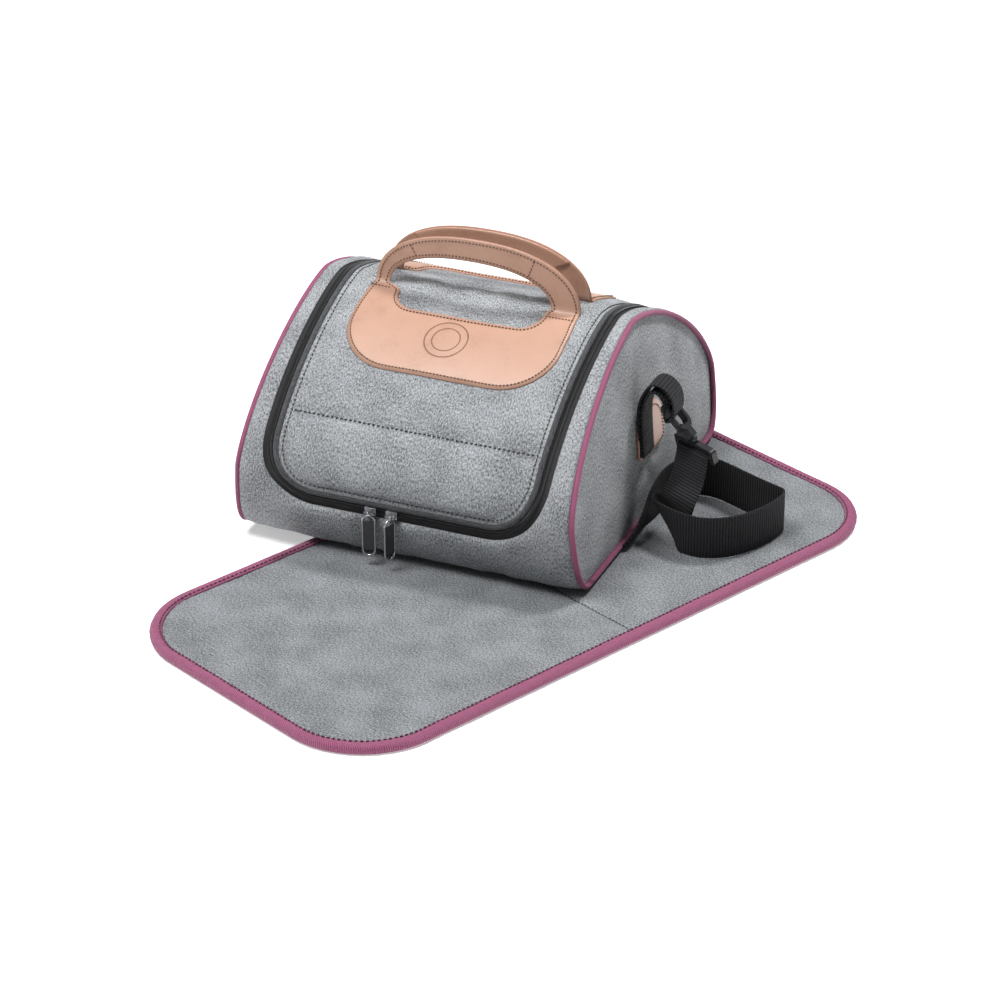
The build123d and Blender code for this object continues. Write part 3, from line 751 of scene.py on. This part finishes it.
def coil(name, toward):
    """One row of nylon coil: a loop of thread every 1.6 mm, its head over the zip's middle line."""
    near, far = zip_line(toward * 0.0003), zip_line(toward * 0.0023)
    near, far = skin(near[:, 0], near[:, 1], 0.0004), skin(far[:, 0], far[:, 1], 0.0002)
    x, turn = zip_line(0).T
    lift = skin(x, turn, 0.001) - skin(x, turn, 0)
    run = run_along(near)
    count = int(run[-1] / 0.0016)
    where = (np.arange(count) + (0.25 if toward > 0 else 0.75)) * run[-1] / count

    def at(table):
        return np.stack([np.interp(where, run, table[:, k]) for k in range(3)], axis=1)

    head, root, up = at(near), at(far), unit(at(lift))
    ahead = unit(np.gradient(head, axis=0))
    across = head - root
    rings = [(-0.05, 0.5), (0.2, 1.0), (0.75, 1.0), (1.0, 1.25), (1.12, 0.7)]
    turns = [2 * pi * k / 6 for k in range(6)]
    points = np.stack([root + across * a + (ahead * cos(t) * 0.00058 + up * sin(t) * 0.00062) * swell
                       for a, swell in rings for t in turns], axis=1)
    one = grid_faces(5, 6, round_columns=True) + [(5, 4, 3, 2, 1, 0), (24, 25, 26, 27, 28, 29)]
    faces = [tuple(k + 30 * row for k in face) for row in range(count) for face in one]
    return sew(name, points, faces, coil_nylon)


coil_nylon = solid_finish("coil_nylon", (0.018, 0.018, 0.020), 900.0, 0.0001, Roughness=0.38)
steel = solid_finish("puller_steel", (0.58, 0.58, 0.60), 1400.0, 0.00005, Roughness=0.26, Metallic=1.0)
rubber = solid_finish("puller_rubber", (0.045, 0.045, 0.048), 1100.0, 0.0002, Roughness=0.7)
for name, body, toward in (("body", "bag", 1), ("lid", "lid", -1)):
    tape = zip_band(f"zip_tape_{name}_strip", toward * 0.009, toward * 0.0006,
                    [-0.0014, -0.0012, -0.0010, -0.0008], black_tape, 0.0006)
    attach(tape, body)
    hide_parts(f"zip_tape_{name}")
    row = coil(f"zip_coil_{name}_row", toward)
    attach(row, body)
    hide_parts(f"zip_coil_{name}")
for name in ("left", "right"):
    dress(f"slider_{name}", steel, 0.0004)
    dress(f"puller_link_{name}", steel)
    dress(f"puller_{name}", steel)
    dress(f"puller_insert_{name}", rubber, 0.0003)

# ---------------------------------------------------------------- lid
# The flap inside the zip: melange cloth over foam and foil, edged with a dark welt that half hides the
# coil, topstitched near its edge and quilted across by one straight row of stitches. The welt's cloth is
# dark grey of its own, and its colour is darker still with painted shade along the zip.
QUILT_Z = 0.117


def near_zip(x, turn, grow):
    """Distance in from the lid's edge, roughly, for points inside the zip's U."""
    low = path_at(section_turn(ZIP_LOW - grow))
    side = ZIP_HALF + grow - np.abs(x - ZIP_X)
    rise = path_at(turn) - low
    corner = np.hypot(np.maximum(ZIP_CORNER - side, 0), np.maximum(ZIP_CORNER - rise, 0))
    return np.where((side < ZIP_CORNER) & (rise < ZIP_CORNER), ZIP_CORNER - corner, np.minimum(side, rise))


def lid_rise(x, turn):
    """Relief of the lid: padded inside its topstitching, quilted across the front, crumpled on top."""
    x, turn = np.broadcast_arrays(np.asarray(x, float), np.asarray(turn, float))
    shape, x, turn = x.shape, x.ravel(), turn.ravel()
    gap, along = near_zip(x, turn, -0.0071), path_at(turn)
    spots = np.column_stack([x, along])
    edge_seam = np.exp(-((gap - 0.0042) / 0.0016) ** 2)
    full = 1 - np.exp(-(np.maximum(gap, 0) / 0.010) ** 2)
    puckers = np.exp(-((gap - 0.010) / 0.007) ** 2) * ripple(spots, (0.011, 0.011), 7.0)
    quilt_gap = along - path_at(section_turn(QUILT_Z))
    quilt = 0.9 * np.exp(-(quilt_gap / 0.0040) ** 2) + 0.4 * np.exp(-(quilt_gap / 0.012) ** 2)
    quilt_puckers = np.exp(-(quilt_gap / 0.011) ** 2) * ripple(spots, (0.012, 0.04), 9.0)
    top = np.exp(-((turn - 88) / 13.0) ** 2) * np.exp(-((x + 0.004) / 0.085) ** 4)
    folds, small_folds = ripple(spots, (0.034, 0.017), 11.0), ripple(spots, (0.013, 0.010), 12.0)
    crumple = top * (folds * 0.0036 + small_folds * 0.0015 - 0.0012)
    soft = ripple(spots, (0.055, 0.045), 13.0) * 0.0011
    rise = full * (0.0032 + soft - 0.0026 * quilt + 0.0012 * quilt_puckers) + crumple
    return (rise + 0.0010 * puckers - 0.0011 * edge_seam).reshape(shape)


lid_edge = zip_rows(-0.0071)
shares = np.sin(np.linspace(-pi / 2, pi / 2, 71)) * 0.35 + np.linspace(-1, 1, 71) * 0.65
x = ZIP_X + np.outer(lid_edge[:, 1], shares)
turn = np.repeat(lid_edge[:, :1], len(shares), axis=1)
lid_points = skin(x, turn, lid_rise(x, turn))
lid_lay = np.stack([x, path_at(turn), x * 0], axis=-1)
lid = sew("lid_padded", lid_points, grid_faces(*x.shape), grey_cloth, foil, black_tape, lay=lid_lay)
pad_out(lid, WALL, ((0, -0.16, 0.09), (0, -0.9, 0.4)))
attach(lid, "lid")
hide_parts("lid_fabric", "lid_foam", "lid_lining")
# welt cloth: dark grey melange, painted darker still, so that part of its low colour is painted shade along
# the zip
welt_cloth_with_painted_shade = melange("welt_cloth_with_painted_shade", (0.014, 0.015, 0.018), (0.085, 0.089, 0.096), (0.3, 1, 1))
welt_rises = [0.0002, 0.0013, 0.0017, 0.0014, 0.0003]
welt = zip_band("lid_welt_roll", -0.0026, -0.0076, welt_rises, welt_cloth_with_painted_shade, 0.0012)
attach(welt, "lid")
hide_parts("lid_welt")

EDGE_STITCH, QUILT_STITCH = (0.0040, 0.0028, 0.00060), (0.0042, 0.0030, 0.00070)
seam_x, seam_turn = zip_line(-0.0112).T
seam_out = skin(seam_x, seam_turn, 0.01) - skin(seam_x, seam_turn)
seam_place = skin(seam_x, seam_turn, lid_rise(seam_x, seam_turn) + 0.0007)
seam = stitches("lid_edge_stitches", seam_place, seam_out, *EDGE_STITCH, grey_thread)
quilt_turn = section_turn(QUILT_Z)
quilt_x = np.linspace(ZIP_X - 0.108, ZIP_X + 0.108, 90)
quilt_out = skin(quilt_x, quilt_turn, 0.01) - skin(quilt_x, quilt_turn)
quilt_place = skin(quilt_x, quilt_turn, lid_rise(quilt_x, quilt_turn) + 0.0009)
quilt = stitches("lid_quilting", quilt_place, quilt_out, *QUILT_STITCH, grey_thread)
for row in (seam, quilt):
    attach(row, "lid")

# ---------------------------------------------------------------- leather patches and handles
# Each side has one ring cut from 2 mm tan leather: its lower half is stitched down on the lid as a
# patch, and its upper half stands up as the handle. A second strip is sewn behind each handle's grip.
HANDLE_Y, LEATHER, BEND = 0.013, 0.0021, 0.008


def leather_finish(name, colour, deep):
    """Smooth tanned leather: fine pores, soft mottling, and a round tool mark pressed in the patch."""
    finish = Finish(name, colour, Roughness=0.42, Coat_Weight=0.08, Coat_Roughness=0.35,
                    Specular_IOR_Level=0.45)
    pores = finish.node("ShaderNodeTexVoronoi", {"feature": "F1"}, {
        "Vector": finish.cloth(1, 1, 1), "Scale": 1300.0})
    mottle = finish.noise(34.0, 5.0)
    grain = finish.noise(420.0, 4.0)
    across, along = cloth_lines(finish)
    centre_x, centre_h = -0.005, -0.055
    from_mark = ((across - centre_x) ** 2 + (along - centre_h) ** 2) ** 0.5
    grooves = [finish.node("ShaderNodeMapRange", {"interpolation_type": "SMOOTHSTEP"}, {
        "Value": abs(from_mark - radius), "From Min": 0.0, "From Max": width, "To Min": 1.0, "To Max": 0.0})
        for radius, width in ((0.0185, 0.0008), (0.0120, 0.0006))]
    mark = grooves[0].maths("MAXIMUM", *grooves)
    pale = tuple(min(1, part * 1.08) for part in colour)
    finish.shade(mottle * 0.8 + grain * 0.3 - mark * 0.28, (0.2, deep), (0.5, colour), (0.8, pale))
    finish.ridge(grain * 0.4 - pores * 0.25 - mark * 2.5, 0.0004)
    return finish


tan = leather_finish("tan_leather", (0.42, 0.245, 0.175), (0.30, 0.155, 0.10))
raw = solid_finish("leather_raw_edge", (0.36, 0.17, 0.12), 700.0, 0.0003, Roughness=0.8)
tan_thread = thread("tan_thread", (0.17, 0.070, 0.038))
crown = np.linspace(90, 0, 400)
CROWN_RUN = run_along(np.stack(section(crown), axis=1))
BEND_RUN = float(np.interp(HANDLE_Y, -section(crown)[0], CROWN_RUN))


def leather_place(x, h, toward, raise_by=0.0):
    """Points of the leather from x and h: below h = 0 on the lid, above it upright as the handle."""
    x, h, raise_by = np.broadcast_arrays(np.asarray(x, float), np.asarray(h, float), raise_by)

    def spine(h):
        turn = np.interp(BEND_RUN - np.minimum(h, -BEND), CROWN_RUN, crown)
        mirrored = turn if toward < 0 else 180 - turn
        on_lid = skin(x, mirrored, lid_rise(x, mirrored) * 0.75 + 0.0022)
        turn = np.interp(BEND_RUN, CROWN_RUN, crown)
        corner = skin(0.0, turn, 0.0022)
        corner = np.array([0, corner[1] * (1 if toward < 0 else -1), corner[2]])
        upright = np.stack([x, x * 0 + corner[1], corner[2] + np.maximum(h, BEND)], axis=-1)
        knee = np.stack([x, x * 0 + corner[1], x * 0 + corner[2]], axis=-1)
        t = np.clip((h + BEND) / (2 * BEND), 0, 1)[..., None]
        return on_lid * (1 - t) ** 2 + knee * (2 * t * (1 - t)) + upright * t ** 2

    place = spine(h)
    ahead = unit(spine(h + 0.0004) - spine(h - 0.0004))
    out = np.stack([ahead[..., 0] * 0, toward * ahead[..., 2], -toward * ahead[..., 1]], axis=-1)
    return place + unit(out) * raise_by[..., None], unit(out)


def arch_edge(centre, half, height, power, count):
    """Half superellipse from the right foot over the top to the left foot."""
    turns = np.linspace(0, pi, count)
    c, s = np.cos(turns), np.sin(turns)
    return np.column_stack([centre + half * np.sign(c) * abs(c) ** (2 / power),
                            height * abs(s) ** (2 / power)])


def patch_edge(left, right, low, corner, count, flare=0.0):
    """U from the left foot down, along the bottom and up to the right foot, with round corners."""
    turns = np.linspace(pi, 1.5 * pi, 14)
    path = [(left - flare * (1 - drop) ** 2, (low + corner) * drop) for drop in (0.0, 0.2, 0.4, 0.6, 0.8)]
    path += [(left + corner + corner * cos(t), low + corner + corner * sin(t)) for t in turns]
    path += [(right - corner - corner * cos(t), low + corner + corner * sin(t)) for t in turns[::-1]]
    path += [(right, 0.0)]
    path = np.array(path)
    run = run_along(path)
    where = np.linspace(0, run[-1], count)
    return np.column_stack([np.interp(where, run, path[:, k]) for k in (0, 1)])


ARCH, PATCH = 90, 150
outer = np.concatenate([arch_edge(0.0005, 0.0925, 0.0525, 2.3, ARCH),
                        patch_edge(-0.0945, 0.0945, -0.0935, 0.046, PATCH)[1:-1]])
inner = np.concatenate([arch_edge(-0.0060, 0.0730, 0.0320, 2.3, ARCH),
                        patch_edge(-0.0660, 0.0640, -0.0285, 0.019, PATCH, 0.0125)[1:-1]])
# the patch's sides meet the narrower handle within 30 mm of the bend
foot_x, foot_h = outer[ARCH:].T
foot_wide = 0.0925 + 0.002 * np.clip(-foot_h / 0.03, 0, 1)
outer[ARCH:, 0] = np.where(foot_h > -0.03, np.sign(foot_x) * foot_wide, foot_x)
across = np.linspace(0, 1, 13)
wide = np.linalg.norm(outer - inner, axis=1)


def lip(share):
    """Leather turns down a touch at its cut edges."""
    return -0.0005 * (np.exp(-(share / 0.07) ** 2) + np.exp(-((1 - share) / 0.07) ** 2))


for toward, name in ((-1, "front"), (1, "back")):
    flat = inner[None] * (1 - across[:, None, None]) + outer[None] * across[:, None, None]
    points, _ = leather_place(flat[..., 0], flat[..., 1], toward, lip(across)[:, None])
    lay = np.concatenate([flat, flat[..., :1] * 0], axis=-1)
    if toward > 0:
        lay[..., 0] += 0.5
    faces = grid_faces(len(across), len(outer), round_columns=True)
    ring = sew(f"leather_{name}_ring", points, faces, tan, tan, raw, lay=lay)
    pad_out(ring, LEATHER, ((0, toward * 0.0135, 0.2275), (0, toward, 0)))
    ring.modifiers[0].material_offset = 1
    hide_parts(f"patch_{name}", f"handle_{name}")
    rows = []
    for edge_gap in (0.0034, -0.0034):
        share = (edge_gap / wide if edge_gap > 0 else 1 + edge_gap / wide)[:, None]
        line = inner * (1 - share) + outer * share
        line = np.concatenate([line, line[:1]])
        place, out = leather_place(line[:, 0], line[:, 1], toward, 0.0001)
        rows.append((place, out, 0.0031))
    for seam_x in (-0.062, 0.053):
        share = np.linspace(0.14, 0.86, 12)[:, None]
        start = inner[int(np.argmin(np.abs(inner[:ARCH, 0] - seam_x * 0.86)))]
        stop = outer[int(np.argmin(np.abs(outer[:ARCH, 0] - seam_x)))]
        line = start * (1 - share) + stop * share
        place, out = leather_place(line[:, 0], line[:, 1], toward, 0.0001)
        rows.append((place, out, 0.0030))
    for x0, x1, h in ((-0.0935, -0.0755, -0.0075), (0.0655, 0.0915, -0.0100)):
        line = np.column_stack([np.linspace(x0, x1, 8), np.full(8, h)])
        place, out = leather_place(line[:, 0], line[:, 1], toward, 0.0001)
        rows.append((place, out, 0.0030))
    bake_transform(ring)
    for k, (place, out, pitch) in enumerate(rows):
        row = stitches(f"leather_{name}_stitches_{k}", place, out, pitch, 0.0024, 0.00060, tan_thread)
        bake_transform(row)
    # the strip behind the grip, between its two cross seams
    grip = (inner[:ARCH, 0] > -0.060) & (inner[:ARCH, 0] < 0.052)
    strip_in, strip_out = inner[:ARCH][grip] + (0, 0.0010), outer[:ARCH][grip] - (0, 0.0010)
    flat = strip_in[None] * (1 - across[:, None, None]) + strip_out[None] * across[:, None, None]
    points, _ = leather_place(flat[..., 0], flat[..., 1], toward, -LEATHER - 0.0002 - lip(across)[:, None])
    backing = sew(f"grip_{name}_backing", points, grid_faces(len(across), grip.sum()), tan, tan, raw,
                  lay=np.concatenate([flat, flat[..., :1] * 0], axis=-1) + (1.0, 0, 0))
    pad_out(backing, 0.0015, ((0, toward * 0.0113, 0.2275), (0, toward, 0)))
    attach(backing, f"{name}_handle")
    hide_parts(f"handle_pad_{name}")

# ---------------------------------------------------------------- end tabs and snap hooks
# On each end panel a loop of 25 mm webbing is sewn down under a D-shaped leather patch. A black
# acetal swivel hook hangs from the loop, and the strap is threaded through the bar at its foot.
tab_webbing = black_webbing("tab_webbing", 0.0030)
hook_plastic = solid_finish("hook_plastic", (0.022, 0.022, 0.024), 520.0, 0.0002, Roughness=0.36)
PATCH_LOW, HALF_TAB = 0.066, (0, 0.0125, 0)
TAB_STITCH = (0.0032, 0.0023, 0.00055)
RING = 96
for side, name in ((-1, "left"), (1, "right")):
    low_z = PATCH_LOW + 0.006
    low_x, high_x = [abs(end_place(np.array([TAB_Y[side]]), np.array([z]), side, 0.0028)[0, 0])
                     for z in (low_z, 0.110)]
    reach = 0.031 if side > 0 else 0.022
    loop = [(low_x, low_z), (high_x + 0.0020, 0.098), (high_x + 0.0006, 0.122),
            (high_x + reach * 0.42, 0.1445), (high_x + reach, 0.1350), (high_x + reach * 1.08, 0.1130),
            (high_x + reach * 0.78, 0.1070), (high_x + reach * 0.80, 0.1280), (high_x + reach * 0.42, 0.1375),
            (high_x + 0.0046, 0.1190), (high_x + 0.0050, 0.0980), (low_x + 0.0022, low_z)]
    tab_route = [((side * x, TAB_Y[side], z), HALF_TAB) for x, z in loop]
    tab, _ = webbing(f"tab_{name}_loop", tab_route, 0.0018, tab_webbing)
    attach(tab, "bag")
    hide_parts(f"tab_loop_{name}")
    # leather D, flat along the bottom and round on top
    y0, half = TAB_Y[side] + (0.016 if side > 0 else 0.0), 0.029
    ring_turns = np.linspace(0, 2 * pi, RING, endpoint=False)
    out, up = np.cos(ring_turns), np.sin(ring_turns)
    edge_y = half * np.sign(out) * abs(out) ** (2 / 2.6)
    edge_z = np.where(up > 0, 0.030 * abs(up) ** (2 / 2.2), -0.014 * abs(up) ** (2 / 7.0))
    share = np.linspace(0.02, 1, 14)
    y, z = y0 + np.outer(share, edge_y), PATCH_LOW + 0.014 + np.outer(share, edge_z)
    place = end_place(y, z, side, 0.0034 + lip(share)[:, None])
    faces = grid_faces(len(share), RING, round_columns=True) + [tuple(range(RING))]
    leather = sew(f"tab_{name}_leather", place, faces, tan, tan, raw,
                  lay=np.stack([y + 2.0, z, z * 0], axis=-1))
    pad_out(leather, 0.0020, ((side * 0.15, y0, 0.09), (side, 0, 0)))
    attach(leather, "bag")
    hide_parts(f"tab_patch_{name}")
    ring = place[-3] + (side * 0.0003, 0, 0)
    ring = np.concatenate([ring, ring[:1]])
    row = stitches(f"tab_{name}_stitches", ring, (side, 0, 0), *TAB_STITCH, tan_thread)
    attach(row, "bag")
    dress(f"hook_{name}", hook_plastic, 0.0012)
    dress(f"hook_base_{name}", hook_plastic, 0.0009)
    dress(f"hook_gate_{name}", hook_plastic, 0.0007)

# ---------------------------------------------------------------- floor and studio light
# A plain white sweep, a broad soft light high at the front left, a smaller key high behind on the right
# that draws the strap's shadow, and a little fill from the front left.
floor_paint = Finish("studio_floor", (0.92, 0.92, 0.92), Roughness=0.9,
                     Emission_Color=(1, 1, 1, 1), Emission_Strength=0.34)
floor = sew("studio_floor", [(-6, -6, 0), (6, -6, 0), (6, 6, 0), (-6, 6, 0)], [(0, 1, 2, 3)], floor_paint)


def soft_light(name, place, aim, size, power):
    """A square soft box at a place, turned to its aim."""
    lamp = bpy.data.lights.new(name, "AREA")
    lamp.size, lamp.energy = size, power
    holder = bpy.data.objects.new(name, lamp)
    holder.location = place
    holder.rotation_euler = (Vector(place) - Vector(aim)).to_track_quat("Z", "Y").to_euler()
    bpy.context.collection.objects.link(holder)


soft_light("main_above", (-0.55, -0.75, 2.25), (0.0, -0.05, 0.08), 0.9, 58.0)
soft_light("key_behind", (0.62, 0.72, 2.05), (0.05, -0.08, 0.05), 0.35, 42.0)
soft_light("front_fill", (-1.6, -2.0, 0.9), (0.0, -0.1, 0.12), 1.2, 1.2)
world = bpy.data.worlds.new("studio")
world.use_nodes = True
world.node_tree.nodes["Background"].inputs["Color"].default_value = (1, 1, 1, 1)
world.node_tree.nodes["Background"].inputs["Strength"].default_value = 0.17
bpy.context.scene.world = world
bpy.context.scene.view_settings.view_transform = "Standard"
